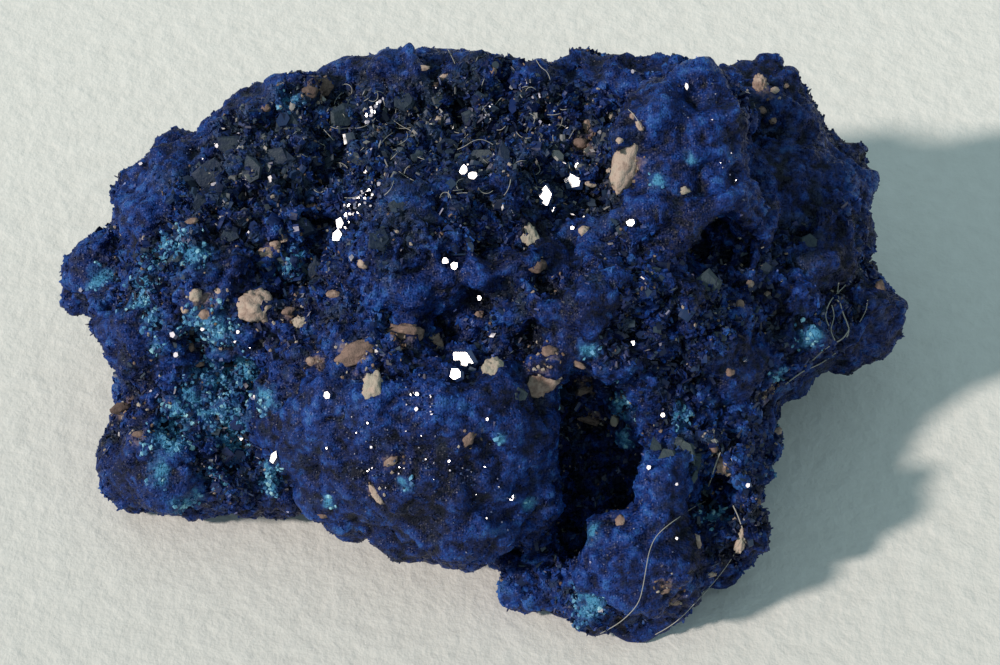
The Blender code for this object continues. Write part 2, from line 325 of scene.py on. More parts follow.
class Growth(Tree):
    """A Geometry Nodes tree with named inputs that works on a surface or grows on it."""

    def __init__(self, name, **sizes):
        super().__init__(bpy.data.node_groups.new(name, "GeometryNodeTree"))
        face = self.tree.interface
        face.new_socket("Geometry", in_out="OUTPUT", socket_type="NodeSocketGeometry")
        face.new_socket("Geometry", in_out="INPUT", socket_type="NodeSocketGeometry")
        kinds = {float: "NodeSocketFloat", int: "NodeSocketInt", str: "NodeSocketString",
                 tuple: "NodeSocketVector"}
        self.handles = {}
        for label, value in sizes.items():
            label = label.replace("_", " ")
            made = face.new_socket(label, in_out="INPUT", socket_type=kinds[type(value)])
            made.default_value = value
            self.handles[label] = made.identifier
        self.inputs = self.tree.nodes.new("NodeGroupInput")
        self.end = self.tree.nodes.new("NodeGroupOutput")

    def given(self, label):
        return Socket(self, self.inputs.outputs[label])

    def finish(self, shape, material):
        whole = self.node("GeometryNodeRealizeInstances", None, {"Geometry": shape})
        self.put(self.end.inputs["Geometry"], self.node(
            "GeometryNodeSetMaterial", None, {"Geometry": whole, "Material": material}))

    def zone(self, name):
        return self.node("GeometryNodeInputNamedAttribute", {"data_type": "FLOAT"},
                         {"Name": name})

    def chance(self, kind, low, high, seed):
        first = {"FLOAT_VECTOR": 0, "FLOAT": 2}[kind]
        return self.node("FunctionNodeRandomValue", {"data_type": kind},
                         {first: low, first + 1: high, "Seed": seed}, first // 2)

    def grow(self, name, source, **sizes):
        """A plain mesh of what the tree makes of the source with these sizes."""
        host = bpy.data.objects.new(name, source.data)
        scene.collection.objects.link(host)
        growing = host.modifiers.new(name, "NODES")
        growing.node_group = self.tree
        for label, value in sizes.items():
            growing[self.handles[label.replace("_", " ")]] = value
        return plain_mesh(host, name)


def plain_mesh(source, name):
    """The source's shape with its modifiers applied, as a new object in its place."""
    shape = source.evaluated_get(bpy.context.evaluated_depsgraph_get())
    mesh = bpy.data.meshes.new_from_object(shape)
    bpy.data.objects.remove(source)
    mesh.name = name
    made = bpy.data.objects.new(name, mesh)
    scene.collection.objects.link(made)
    return made


def steps(spot, start):
    """How far this spot is across and down from another, for each metre from the eye."""
    return [(to - since) / PICTURE[0] * SENSOR / VIEW_LENS for to, since in zip(spot, start)]


def through(spot, target):
    """The point of the target that is seen at this spot of the view, and how it faces."""
    across, down = steps(spot, (PICTURE[0] / 2, PICTURE[1] / 2))
    ray = camera.rotation_quaternion @ Vector((across, -down, -1)).normalized()
    point, normal, _, _ = target.ray_cast(eye, ray)
    return point, normal


def vertex_places(mesh):
    """Where each vertex is."""
    places = np.empty(len(mesh.vertices) * 3, np.float32)
    mesh.vertices.foreach_get("co", places)
    return places.reshape(-1, 3)


def facing(mesh):
    """Which way the surface faces at each vertex."""
    normals = np.empty(len(mesh.vertices) * 3, np.float32)
    mesh.vertex_normals.foreach_get("vector", normals)
    return normals.reshape(-1, 3)


def near_patches(places, patches, target):
    """How close each place is to a patch: 1 about its middle, 0 from just past its radius."""
    share = np.zeros(len(places), np.float32)
    for u, v, radius in patches:
        middle, _ = through((u, v), target)
        if middle is not None:
            away = np.linalg.norm(places - np.array(middle), axis=1) / (radius * MM)
            share = np.maximum(share, np.clip(PATCH_FADE - away, 0, 1))
    return share


def unseen_patches(mesh, seed):
    """Scattered patches on the sides that are turned away from the eye, 0 to 1."""
    away = np.clip(-UNSEEN_TURN * facing(mesh) @ np.array(toward_eye), 0, 1)
    offset = Vector((seed, seed, seed))
    cloud = np.array([noise.noise(vertex.co / (UNSEEN_SPACING * MM) + offset)
                      for vertex in mesh.vertices])
    return np.clip((cloud - UNSEEN_LEAST) * UNSEEN_GAIN, 0, 1) * away


def hollowness(mesh, rounds, depth):
    """Below 0.5 for a vertex that stands out, and 1 for one that lies this depth below."""
    places = vertex_places(mesh)
    edges = np.empty(len(mesh.edges) * 2, np.int32)
    mesh.edges.foreach_get("vertices", edges)
    first, second = edges.reshape(-1, 2).T
    count = np.bincount(edges, minlength=len(places))[:, None]
    around = places.astype(np.float64)
    for _ in range(rounds):
        total = np.stack([np.bincount(first, around[second, axis], len(places))
                          + np.bincount(second, around[first, axis], len(places))
                          for axis in range(3)], axis=1)
        around = (around + total / count) / 2
    below = ((around - places) * facing(mesh)).sum(axis=1)
    return np.clip(below / depth * 0.5 + 0.5, 0, 1)


def store(mesh, name, values):
    """Keep one value for each vertex in the mesh, for its material and what grows on it."""
    mesh.attributes.new(name, "FLOAT", "POINT").data.foreach_set(
        "value", np.ascontiguousarray(values, np.float32))


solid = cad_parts["azurite_nodule"]
welded = bmesh.new()
welded.from_mesh(solid.data)
bmesh.ops.remove_doubles(welded, verts=welded.verts, dist=WELD_GAP)
bmesh.ops.recalc_face_normals(welded, faces=welded.faces)
blank_mesh = bpy.data.meshes.new("blank")
welded.to_mesh(blank_mesh)
welded.free()
blank = bpy.data.objects.new("blank", blank_mesh)
scene.collection.objects.link(blank)
skin = blank.modifiers.new("skin", "REMESH")
skin.mode = "VOXEL"
skin.voxel_size = BODY_GRAIN
soft = blank.modifiers.new("soft", "SMOOTH")
soft.iterations = BODY_SMOOTHING
blank = plain_mesh(blank, "blank")
blank_tree = BVHTree.FromObject(blank, bpy.context.evaluated_depsgraph_get())
places = vertex_places(blank.data)
hollow = hollowness(blank.data, HOLLOW_REACH, HOLLOW_DEPTH)
crust = np.clip(USUAL_CRUST + near_patches(places, CRUSTY_PATCHES, blank_tree) * CRUSTY_GAIN
                - near_patches(places, VELVET_PATCHES, blank_tree) * VELVET_LOSS
                + unseen_patches(blank.data, seed=2.7)
                + (hollow - 0.5) * HOLLOW_GAIN, 0, 1)
crust *= np.clip(SIDE_CRUST + facing(blank.data)[:, 2] * LEVEL_CRUST, LEAST_CRUST, 1)
store(blank.data, "crust", crust)
store(blank.data, "standing", np.clip(places[:, 2] / FOOT_HEIGHT, 0, 1))
store(blank.data, "turquoise", near_patches(places, TURQUOISE_PATCHES, blank_tree)
      + unseen_patches(blank.data, seed=4.3))
store(blank.data, "clay", near_patches(places, CLAY_PATCHES, blank_tree)
      + unseen_patches(blank.data, seed=9.1))
store(blank.data, "dusty", near_patches(places, DUSTY_PATCHES, blank_tree))
# Painted shade: the shaded patches, which darken the stone's blue.
store(blank.data, "deep", near_patches(places, SHADE_PAINTED_PATCHES, blank_tree))
store(blank.data, "fullness", near_patches(places, FULL_PATCHES, blank_tree) * FULL_SHARE
      - near_patches(places, LEAN_PATCHES, blank_tree) * LEAN_SHARE)


def stone_tone(finish, shade):
    """The colour of the stone: a dark, rich blue, with slate, turquoise and clay films in places,
    painted near black in hollows and darker in small pits and listed patches as painted shade, and
    lighter on small tops as painted light.
    """
    place = finish.place()
    broad = finish.noise(place, 300, 2) - 0.5
    mottle = finish.noise(place, 1000, 3, 0.6) - 0.5
    grain = finish.noise(place, 2600, 2) - 0.5
    # The blue is painted darker in small pits and lighter on small tops (painted shade and painted
    # light), and darker again in the listed shaded patches (painted shade).
    blue = finish.ramp(AZURITE_BLUES, (
        0.43 + (shade - 0.5) * 0.35 + mottle * 1.4 + broad * 1.2 + grain * 1.2
        + (0.5 - finish.attribute("pitted")) * 0.55 - finish.attribute("deep") * 0.22))
    slate = (finish.noise(place, 820, 3, 0.6) + finish.noise(place, 2100, 2) * 0.5
             + finish.attribute("dusty") * 0.16)
    filmed = finish.range(slate, 0.76, 0.96) * (0.25 + finish.attribute("crust") * 0.6)
    tone = finish.blend(filmed, blue, finish.blend(shade, *SLATE_FILM))
    # Painted shade: the colour turns near black in the hollows.
    tone = finish.blend(finish.range(finish.attribute("hollow"), 0.55, 0.9), tone, HOLLOW_PAINTED_SHADE)
    stained = finish.attribute("turquoise") + mottle * 1.8 + grain * 1.2
    tone = finish.blend(finish.range(stained, 0.15, 0.7, 0.0, 0.7), tone, THIN_TURQUOISE)
    tone = finish.blend(finish.range(stained, 0.6, 1.1, 0.0, 0.9), tone, THICK_TURQUOISE)
    soil = finish.attribute("clay")
    soil = finish.range(soil + mottle * 2.2 + grain * 1.6, 0.7, 1.3, 0.0, 0.8) * (
        finish.range(soil, 0.0, 0.3))
    return finish.blend(soil, tone, finish.blend(shade, *CLAY_FILM))


azurite = Finish("azurite body")
place = azurite.place()
fine = azurite.noise(place, 3600, 3, 0.65)
facets = {"Vector": place, "Scale": 8000.0}
facet = azurite.node("ShaderNodeTexVoronoi", None, facets, "Color")
ridge = azurite.node("ShaderNodeTexVoronoi", None, facets, "Distance")
leaning = azurite.node("ShaderNodeVectorMath", {"operation": "SUBTRACT"},
                       {0: facet, 1: (0.5, 0.5, 0.5)})
faced = azurite.node("ShaderNodeVectorMath", {"operation": "MULTIPLY_ADD"}, {
    0: leaning, 1: (0.9, 0.9, 0.9),
    2: azurite.node("ShaderNodeNewGeometry", output="Normal")})
faced = azurite.node("ShaderNodeVectorMath", {"operation": "NORMALIZE"}, {0: faced})
glint = azurite.node("ShaderNodeSeparateColor", None, {0: facet}, "Red")
azurite.surface(
    Base_Color=stone_tone(azurite, fine * 0.6 + glint * 0.4),
    Roughness=azurite.range(glint, 0.0, 1.0, 0.7, 0.35),
    IOR=1.32,
    Normal=azurite.node("ShaderNodeBump", None, {
        "Height": fine - ridge * 0.8, "Distance": 0.07 * MM, "Strength": 1.0, "Normal": faced}),
)

relief = Growth("body relief", Swell_Spacing=1.9, Swell_Height=0.5, Knob_Spacing=0.85,
                Knob_Height=0.46, Block_Spacing=1.25, Block_Height=0.7, Chip_Spacing=0.55,
                Chip_Height=0.34, Crevice_Depth=0.6, Fullness=0.45, Warp=0.7)
position = relief.node("GeometryNodeInputPosition")
stray = relief.node("ShaderNodeTexNoise", None, {"Vector": position, "Scale": 900.0}, "Color")
stray = relief.node("ShaderNodeVectorMath", {"operation": "SUBTRACT"},
                    {0: stray, 1: (0.5, 0.5, 0.5)})
here = relief.node("ShaderNodeVectorMath", {"operation": "ADD"}, {
    0: position, 1: relief.node("ShaderNodeVectorMath", {"operation": "SCALE"}, {
        0: stray, "Scale": relief.given("Warp") * 2 * MM})})


def pattern(kind, spacing, output, settings=None, **values):
    """A texture over the body whose features are this many millimetres apart."""
    return relief.node(kind, settings, {
        "Vector": here, "Scale": 1 / MM / relief.given(spacing), **values}, output)


swelling = (pattern("ShaderNodeTexNoise", "Swell Spacing", 0, Detail=2.0) - 0.5) * 2
dome = 0.35 - pattern("ShaderNodeTexVoronoi", "Knob Spacing", "Distance") ** 2
block = relief.node("ShaderNodeSeparateXYZ", None, {
    0: pattern("ShaderNodeTexVoronoi", "Block Spacing", "Color")}, 0) - 0.55
chip = relief.node("ShaderNodeSeparateXYZ", None, {
    0: pattern("ShaderNodeTexVoronoi", "Chip Spacing", "Color")}, 1) - 0.5
edge = pattern("ShaderNodeTexVoronoi", "Block Spacing", 0, {"feature": "DISTANCE_TO_EDGE"})
crevice = relief.node("ShaderNodeMapRange", {"interpolation_type": "SMOOTHSTEP"}, {
    "Value": edge, "From Min": 0.02, "From Max": 0.2, "To Min": -1.0, "To Max": 0.0})
crusty = relief.zone("crust")
height = (relief.zone("fullness") * relief.given("Fullness")
          + swelling * relief.given("Swell Height")
          + dome * relief.given("Knob Height") * (1 - crusty * 0.7)
          + (block * relief.given("Block Height") + chip * relief.given("Chip Height")
             + crevice * relief.given("Crevice Depth")) * crusty)
outward = relief.node("ShaderNodeVectorMath", {"operation": "SCALE"}, {
    0: relief.node("GeometryNodeInputNormal"),
    "Scale": height * relief.zone("standing") * MM})
raised = relief.node("GeometryNodeSetPosition", None, {
    "Geometry": relief.given("Geometry"), "Offset": outward})
relief.finish(raised, azurite.material)
body = relief.grow("azurite_body", blank)
bpy.data.objects.remove(blank)
places = vertex_places(body.data)
places[:, 2] = np.maximum(places[:, 2], 0)
body.data.vertices.foreach_set("co", places.ravel())
body.data.update()
# The hollow measure stored here drives painted shade in the hollows of the stone's colour.
store(body.data, "hollow", hollowness(body.data, HOLLOW_REACH, HOLLOW_DEPTH))
# The small-scale hollowness stored here paints shade into the small pits and painted light onto the
# small tops.
store(body.data, "pitted", hollowness(body.data, PIT_REACH, PIT_DEPTH))
body_tree = BVHTree.FromObject(body, bpy.context.evaluated_depsgraph_get())
body.data.shade_smooth()
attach(body, "root")
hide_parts("azurite_nodule")


# The fine crystals of the skin: short azurite prisms, a tenth to a third of a millimetre long,
# that stand close together at odd angles and give the body its sugary, glinting face.
FLOOR_GAP = 0.01 * MM


def crystal_growth(name, sides, tip, material):
    """Crystals with this many sides, narrowing to this share of their width at the tip."""
    growth = Growth(name, Density=1.0, Zone="crust", Least=0.0, Smallest=(0.1, 0.1, 0.1),
                    Largest=(0.2, 0.2, 0.2), Lean=0.8, Lift=0.3, Gaps=0.0, Seed=1)
    seed = growth.given("Seed")
    clump = growth.node("ShaderNodeTexNoise", {"noise_dimensions": "4D"}, {
        "Vector": growth.node("GeometryNodeInputPosition"), "W": seed, "Scale": 1100.0})
    gap = growth.node("ShaderNodeMapRange", None, {
        "Value": clump, "From Min": 0.47, "From Max": 0.53, "To Min": 1.0, "To Max": 0.0})
    share = ((growth.zone(growth.given("Zone")) - growth.given("Least"))
             * growth.zone("standing") * (1 - gap * growth.given("Gaps")))
    scatter = growth.tree.nodes.new("GeometryNodeDistributePointsOnFaces")
    for key, value in {"Mesh": growth.given("Geometry"), "Seed": seed,
                       "Density": growth.given("Density") * share / MM / MM}.items():
        growth.put(scatter.inputs[key], value)
    lean = growth.given("Lean")
    tilt = growth.node("ShaderNodeCombineXYZ", None, {
        0: growth.chance("FLOAT", lean * -1, lean, seed + 1),
        1: growth.chance("FLOAT", lean * -1, lean, seed + 2),
        2: growth.chance("FLOAT", 0.0, math.tau, seed + 3)})
    turn = growth.node("FunctionNodeRotateRotation", {"rotation_space": "LOCAL"}, {
        0: Socket(growth, scatter.outputs["Rotation"]),
        1: growth.node("FunctionNodeEulerToRotation", None, {0: tilt})})
    shape = growth.node("GeometryNodeMeshCone", {"fill_type": "NGON"}, {
        "Vertices": sides, "Radius Top": tip / 2, "Radius Bottom": 0.5, "Depth": 1.0})
    lifted = growth.node("GeometryNodeTransform", None, {
        "Geometry": shape, "Translation": growth.node("ShaderNodeCombineXYZ", None, {
            2: growth.given("Lift") - 0.5})})
    size = growth.node("ShaderNodeVectorMath", {"operation": "SCALE"}, {
        0: growth.chance("FLOAT_VECTOR", growth.given("Smallest"), growth.given("Largest"),
                         seed + 4), "Scale": MM})
    standing = growth.node("GeometryNodeInstanceOnPoints", None, {
        "Points": Socket(growth, scatter.outputs["Points"]), "Instance": lifted,
        "Rotation": turn, "Scale": size})
    shaded = growth.node("GeometryNodeStoreNamedAttribute",
                         {"data_type": "FLOAT", "domain": "INSTANCE"}, {
                             "Geometry": standing, "Name": "shade",
                             "Value": growth.chance("FLOAT", 0.0, 1.0, seed + 5)})
    growth.finish(shaded, material)
    return growth


def settle(piece):
    """The piece stays with the stone and keeps above the surface that it rests on."""
    places = vertex_places(piece.data)
    places[:, 2] = np.maximum(places[:, 2], FLOOR_GAP)
    piece.data.vertices.foreach_set("co", places.ravel())
    piece.data.update()
    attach(piece, "root")


crystal = Finish("azurite crystals")
shade = crystal.attribute("shade")
crystal.surface(
    Base_Color=stone_tone(crystal, shade),
    Roughness=crystal.range(shade, 0.75, 1.0, 0.5, 0.16),
    IOR=1.35,
)
bare = 1 - near_patches(places, CLAY_PATCHES, body_tree)
crust = np.empty(len(places), np.float32)
body.data.attributes["crust"].data.foreach_get("value", crust)
store(body.data, "velvet", (1 - crust * 0.7) * bare)
store(body.data, "craggy", crust * bare)
prisms = crystal_growth("crystal skin", 4, 0.5, crystal.material)
settle(prisms.grow("skin_crystals", body, Density=5.0, Zone="velvet", Least=0.0,
                   Smallest=(0.08, 0.06, 0.08), Largest=(0.20, 0.16, 0.20), Lean=1.3,
                   Lift=0.0, Seed=11))
for number, seed in enumerate((37, 41)):
    settle(prisms.grow(f"coarse_crystals_{number + 1}", body, Density=9.0, Zone="craggy",
                       Least=0.1, Smallest=(0.10, 0.08, 0.12), Largest=(0.32, 0.24, 0.30),
                       Lean=1.4, Lift=0.1, Seed=seed))


# The crust in the hollows and along the back: larger, flatter azurite chips and plates that
# stand on edge or lie flat among the fine crystals, some of them under a pale grey film.
FILMED_TONES = ((0.0, (0.0015, 0.004, 0.020, 1)), (0.3, (0.004, 0.010, 0.052, 1)),
                (0.6, (0.008, 0.024, 0.12, 1)), (0.78, (0.015, 0.032, 0.070, 1)),
                (0.92, (0.045, 0.060, 0.078, 1)), (1.0, (0.30, 0.29, 0.28, 1)))
# The near black below is painted shade, laid on the chips' colour in the hollows.
FILMED_HOLLOW_PAINTED_SHADE = (0.002, 0.003, 0.010, 1)
CRUST_PIECES = (
    ("standing_chips", 4, 14.0, 0.35, (0.15, 0.05, 0.18), (0.46, 0.11, 0.48), 1.2, 51),
    ("lying_chips", 4, 12.0, 0.35, (0.18, 0.16, 0.05), (0.50, 0.42, 0.12), 0.7, 59),
    ("standing_plates", 6, 1.2, 0.6, (0.40, 0.10, 0.40), (0.80, 0.15, 0.70), 1.2, 67),
    ("lying_plates", 6, 1.2, 0.6, (0.50, 0.42, 0.10), (1.0, 0.80, 0.16), 0.6, 71),
)

film = Finish("filmed azurite")
tone = film.ramp(
    FILMED_TONES, film.attribute("shade") * 0.92 + film.attribute("dusty") * 0.13 - 0.03)
film.surface(
    # Painted shade: the chips turn near black in the hollows.
    Base_Color=film.blend(film.range(film.attribute("hollow"), 0.6, 0.9), tone, FILMED_HOLLOW_PAINTED_SHADE),
    Roughness=film.range(film.noise(film.place(), 3000), 0.3, 0.7, 0.2, 0.45),
    IOR=1.45,
)
growths = {sides: crystal_growth(f"crystals of {sides} sides", sides, 0.85, film.material)
           for sides in (4, 6)}
for name, sides, density, least, smallest, largest, lean, seed in CRUST_PIECES:
    settle(growths[sides].grow(name, body, Density=density, Zone="craggy", Least=least,
                               Gaps=0.8, Smallest=smallest, Largest=largest, Lean=lean,
                               Lift=0.2, Seed=seed))


# The turquoise crust: grains of a paler copper mineral that have grown in patches over the
# azurite, mostly on the left side and low on the front, with a few on the sides turned away.
TURQUOISE_TONES = ((0.0, (0.016, 0.08, 0.22, 1)), (0.4, (0.06, 0.21, 0.40, 1)),
                   (0.8, (0.13, 0.36, 0.52, 1)), (1.0, (0.27, 0.52, 0.60, 1)))

turquoise = Finish("turquoise crust")
turquoise.surface(
    Base_Color=turquoise.ramp(TURQUOISE_TONES, turquoise.attribute("shade")),
    Roughness=0.6,
)
crust_grains = crystal_growth("turquoise grains", 5, 0.6, turquoise.material)
settle(crust_grains.grow("turquoise_grains", body, Density=24.0, Zone="turquoise", Least=0.1,
                         Smallest=(0.12, 0.10, 0.08), Largest=(0.40, 0.34, 0.20), Lean=0.9,
                         Lift=0.1, Gaps=1.0, Seed=83))


# Clay: tan, pink and cream crumbs of the ground that the stone was dug from. They are stuck
# on in the grooves, with finer dust round them, and one long oval crumb lies beside the
# crown. A row holds a crumb's spot, its width and height, its turn and its paleness.
CLAY_CRUMBS = (
    ((628, 160), (1.35, 3.3), -18, 0.75), ((620, 141), (0.35, 0.35), 0, 0.8),
    ((610, 171), (0.4, 0.3), 0, 0.8), ((640, 126), (0.35, 0.6), 30, 0.7),
    ((633, 116), (0.3, 0.3), 0, 0.6), ((611, 115), (0.3, 0.45), 0, 0.9),
    ((587, 125), (0.45, 0.5), 0, 0.5), ((580, 143), (0.7, 0.55), 0, 0.3),
    ((590, 184), (0.6, 0.3), -20, 0.9), ((256, 307), (1.6, 1.5), 0, 0.7),
    ((301, 325), (0.75, 0.9), 0, 0.9), ((195, 295), (0.6, 0.6), 0, 0.8),
    ((206, 314), (0.75, 0.5), 0, 0.6), ((185, 309), (0.4, 0.4), 0, 0.7),
    ((219, 291), (0.4, 0.4), 0, 0.6), ((266, 254), (0.75, 0.6), 0, 0.6),
    ((275, 246), (0.5, 0.5), 0, 0.6), ((283, 240), (0.5, 0.5), 0, 0.7),
    ((363, 263), (0.5, 0.5), 0, 0.7), ((333, 294), (0.6, 0.4), 0, 0.5),
    ((297, 296), (0.3, 0.4), 0, 0.4), ((288, 311), (0.6, 0.4), 20, 0.3),
    ((313, 361), (0.6, 0.5), 0, 0.5), ((357, 353), (2.1, 0.9), 22, 0.38),
    ((405, 334), (1.6, 1.0), 0, 0.42), ((435, 341), (0.7, 1.0), 15, 0.6),
    ((479, 315), (0.5, 0.4), 30, 0.5), ((492, 373), (1.0, 1.25), 0, 0.95),
    ((541, 377), (1.5, 2.0), -25, 0.55), ((549, 352), (0.7, 0.6), 0, 0.4),
    ((577, 363), (0.8, 0.3), -35, 0.5), ((583, 392), (0.6, 0.4), 20, 0.5),
    ((589, 419), (1.3, 0.45), -15, 0.3), ((615, 419), (0.4, 0.75), 0, 0.9),
    ((374, 391), (1.0, 1.7), 0, 0.9), ((468, 438), (0.6, 0.8), -30, 0.4),
    ((391, 461), (0.7, 0.4), 30, 0.5), ((376, 494), (0.35, 1.0), 30, 0.7),
    ((310, 92), (0.8, 0.6), 0, 0.15), ((322, 88), (1.1, 0.8), 25, 0.25),
    ((266, 108), (0.5, 0.4), 0, 0.4), ((327, 125), (0.5, 0.45), 30, 0.9),
    ((311, 208), (0.7, 0.8), 0, 0.4), ((190, 223), (0.8, 0.4), 30, 0.5),
    ((191, 347), (0.3, 0.4), 0, 0.3), ((199, 363), (0.5, 0.4), 0, 0.3),
    ((140, 405), (0.3, 0.4), 0, 0.9), ((119, 408), (0.9, 0.5), 20, 0.2),
    ((139, 435), (0.6, 0.4), 0, 0.4), ((530, 237), (0.8, 1.3), 10, 1.0),
    ((537, 267), (0.9, 0.6), 20, 0.2), ((584, 231), (0.5, 0.5), 0, 0.8),
    ((740, 305), (0.4, 0.5), 0, 0.5), ((750, 284), (0.4, 0.4), 0, 0.6),
    ((730, 372), (0.4, 0.4), 0, 0.4), ((880, 287), (0.5, 0.7), 0, 0.3),
    ((767, 295), (0.4, 0.4), 0, 0.6), ((775, 433), (0.8, 0.4), 35, 0.6),
    ((722, 464), (0.9, 0.9), 0, 0.6), ((729, 474), (0.35, 0.3), 0, 0.9),
    ((714, 446), (0.5, 0.6), 20, 0.3), ((745, 448), (0.5, 0.4), 0, 0.25),
    ((757, 503), (0.4, 0.4), 0, 0.4), ((741, 541), (0.5, 1.1), -15, 0.85),
    ((736, 524), (0.3, 0.6), 20, 0.85), ((697, 541), (0.35, 0.7), 15, 0.7),
    ((709, 575), (0.7, 0.3), 10, 0.7), ((621, 521), (0.6, 0.5), 30, 0.5),
    ((665, 590), (0.6, 0.35), 20, 0.4), ((676, 602), (0.5, 0.3), 20, 0.5),
    ((760, 84), (0.7, 1.0), 10, 0.6), ((774, 91), (0.5, 0.4), 0, 0.7),
    ((785, 86), (0.4, 0.3), 0, 0.6), ((761, 110), (0.5, 0.4), 0, 0.4),
    ((773, 120), (0.4, 0.4), 0, 0.5), ((523, 113), (0.5, 0.4), 0, 0.7),
    ((493, 72), (0.4, 0.4), 0, 0.5), ((422, 68), (0.7, 0.3), 0, 0.7),
    ((445, 76), (0.7, 0.3), 25, 0.8), ((435, 86), (0.4, 0.4), 0, 0.25),
    ((439, 120), (0.5, 0.4), 0, 0.8), ((437, 103), (0.25, 0.5), 0, 0.9),
    ((323, 515), (0.5, 0.3), 0, 0.5), ((684, 190), (0.6, 0.4), 0, 0.9),
)
CRUMB_DEPTH = 0.7
CRUMB_SUNK = 0.12
LARGE_CRUMB = 1.5
ROUNDED_SIZE = 1.6
LUMP_RATE, LUMP_HEIGHT = 2.2, 0.35
NOTCH_RATE, NOTCH_HEIGHT = 6, 0.30
GRIT_RATE, GRIT_HEIGHT = 15, 0.12
CLAY_TONES = ((0.1, (0.10, 0.070, 0.062, 1)), (0.5, (0.25, 0.17, 0.14, 1)),
              (0.75, (0.45, 0.35, 0.29, 1)), (1.0, (0.36, 0.33, 0.27, 1)))
SPECK_TONES = ((0.0, (0.10, 0.06, 0.04, 1)), (0.5, (0.24, 0.17, 0.13, 1)),
               (1.0, (0.42, 0.38, 0.33, 1)))


def loose_piece(name, shapes, material, smooth=False):
    """These shapes as one object of this name, with this material."""
    mesh = bpy.data.meshes.new(name)
    shapes.to_mesh(mesh)
    shapes.free()
    mesh.materials.append(material)
    if smooth:
        mesh.shade_smooth()
    piece = bpy.data.objects.new(name, mesh)
    scene.collection.objects.link(piece)
    return piece


rng = random.Random(5)
crumbs = bmesh.new()
tint_layer = crumbs.verts.layers.float.new("tint")
view_side = camera.rotation_quaternion @ Vector((1, 0, 0))
view_up = camera.rotation_quaternion @ Vector((0, 1, 0))
for spot, (width, height), turn, tint in CLAY_CRUMBS:
    point, _ = through(spot, body_tree)
    depth = min(width, height) * CRUMB_DEPTH
    side = Matrix.Rotation(math.radians(turn), 3, toward_eye) @ view_side
    up = Matrix.Rotation(math.radians(turn), 3, toward_eye) @ view_up
    centre = point - toward_eye * depth * CRUMB_SUNK * MM
    grain = bmesh.ops.create_icosphere(
        crumbs, subdivisions=4 if width + height > LARGE_CRUMB else 3, radius=0.5)["verts"]
    stray = Vector([rng.uniform(0, 100) for _ in range(3)])
    ragged = min(1, ROUNDED_SIZE / max(width, height))
    for corner in grain:
        rough = corner.co * (
            1 + ragged * LUMP_HEIGHT * noise.noise(corner.co * LUMP_RATE + stray)
            + ragged * NOTCH_HEIGHT * noise.noise(corner.co * NOTCH_RATE + stray)
            + GRIT_HEIGHT * noise.noise(corner.co * GRIT_RATE + stray))
        corner.co = centre + (side * rough.x * width + up * rough.y * height
                              + toward_eye * rough.z * depth) * MM
        corner[tint_layer] = tint
bmesh.ops.recalc_face_normals(crumbs, faces=crumbs.faces)
clay = Finish("clay")
place = clay.place()
clay.surface(
    Base_Color=clay.ramp(CLAY_TONES, clay.attribute("tint")
                         + (clay.noise(place, 2500, 3, 0.6) - 0.5) * 0.9),
    Roughness=0.85, IOR=1.3,
    Normal=clay.bump(clay.noise(place, 6000, 3, 0.7), 0.1 * MM, 0.8),
)
settle(loose_piece("clay_crumbs", crumbs, clay.material, smooth=True))

specks = Finish("clay specks")
specks.surface(
    Base_Color=specks.ramp(SPECK_TONES, specks.attribute("shade")),
    Roughness=0.8, IOR=1.3,
)
clay_dust = crystal_growth("clay dust", 6, 0.6, specks.material)
for name, zone, least, density, seed in (("clay_dust_hollows", "craggy", 0.3, 1.3, 91),
                                         ("clay_dust_grooves", "clay", 0.1, 5.0, 97)):
    settle(clay_dust.grow(name, body, Density=density, Zone=zone, Least=least,
                          Smallest=(0.08, 0.08, 0.06), Largest=(0.26, 0.22, 0.18), Lean=1.0,
                          Lift=0.1, Seed=seed))


# Bare crystal faces: flat azurite crystals, some large and many small, that are turned so that
# they throw the window's light to the eye and flash white. A flash is its spot, width and
# height. A row of small ones is its two ends, count, spread in pixels, size and wobble.
FLASHES = (
    ((463, 361), (1.15, 1.1)), ((457, 374), (0.6, 0.6)), ((475, 364), (0.35, 0.4)),
    ((338, 236), (0.6, 0.6)), ((341, 224), (0.55, 0.45)), ((464, 171), (0.5, 0.4)),
    ((473, 176), (0.5, 0.35)), ((468, 167), (0.25, 0.25)), ((545, 197), (0.7, 1.0)),
    ((552, 210), (0.35, 0.35)), ((572, 182), (0.75, 1.1)), ((578, 166), (0.3, 0.3)),
    ((446, 261), (0.35, 0.3)), ((455, 266), (0.35, 0.35)), ((328, 395), (0.4, 0.35)),
    ((174, 335), (0.3, 0.4)), ((177, 355), (0.28, 0.3)), ((204, 329), (0.2, 0.25)),
    ((275, 457), (0.4, 0.6)), ((512, 497), (0.35, 0.3)), ((588, 384), (0.25, 0.25)),
    ((631, 223), (0.45, 0.4)), ((633, 343), (0.28, 0.28)), ((663, 415), (0.28, 0.28)),
    ((418, 394), (0.2, 0.2)), ((417, 409), (0.18, 0.2)), ((488, 419), (0.12, 0.14)),
    ((480, 298), (0.25, 0.2)), ((573, 228), (0.2, 0.2)), ((142, 164), (0.25, 0.2)),
    ((218, 146), (0.25, 0.2)), ((82, 290), (0.25, 0.25)), ((745, 359), (0.25, 0.25)),
    ((738, 247), (0.25, 0.35)), ((777, 248), (0.2, 0.25)), ((748, 485), (0.25, 0.25)),
    ((677, 484), (0.16, 0.16)), ((677, 538), (0.14, 0.14)), ((649, 467), (0.25, 0.2)),
    ((687, 87), (0.35, 0.2)), ((633, 72), (0.2, 0.2)), ((239, 332), (0.2, 0.2)),
    ((450, 461), (0.12, 0.12)), ((372, 447), (0.12, 0.12)),
)
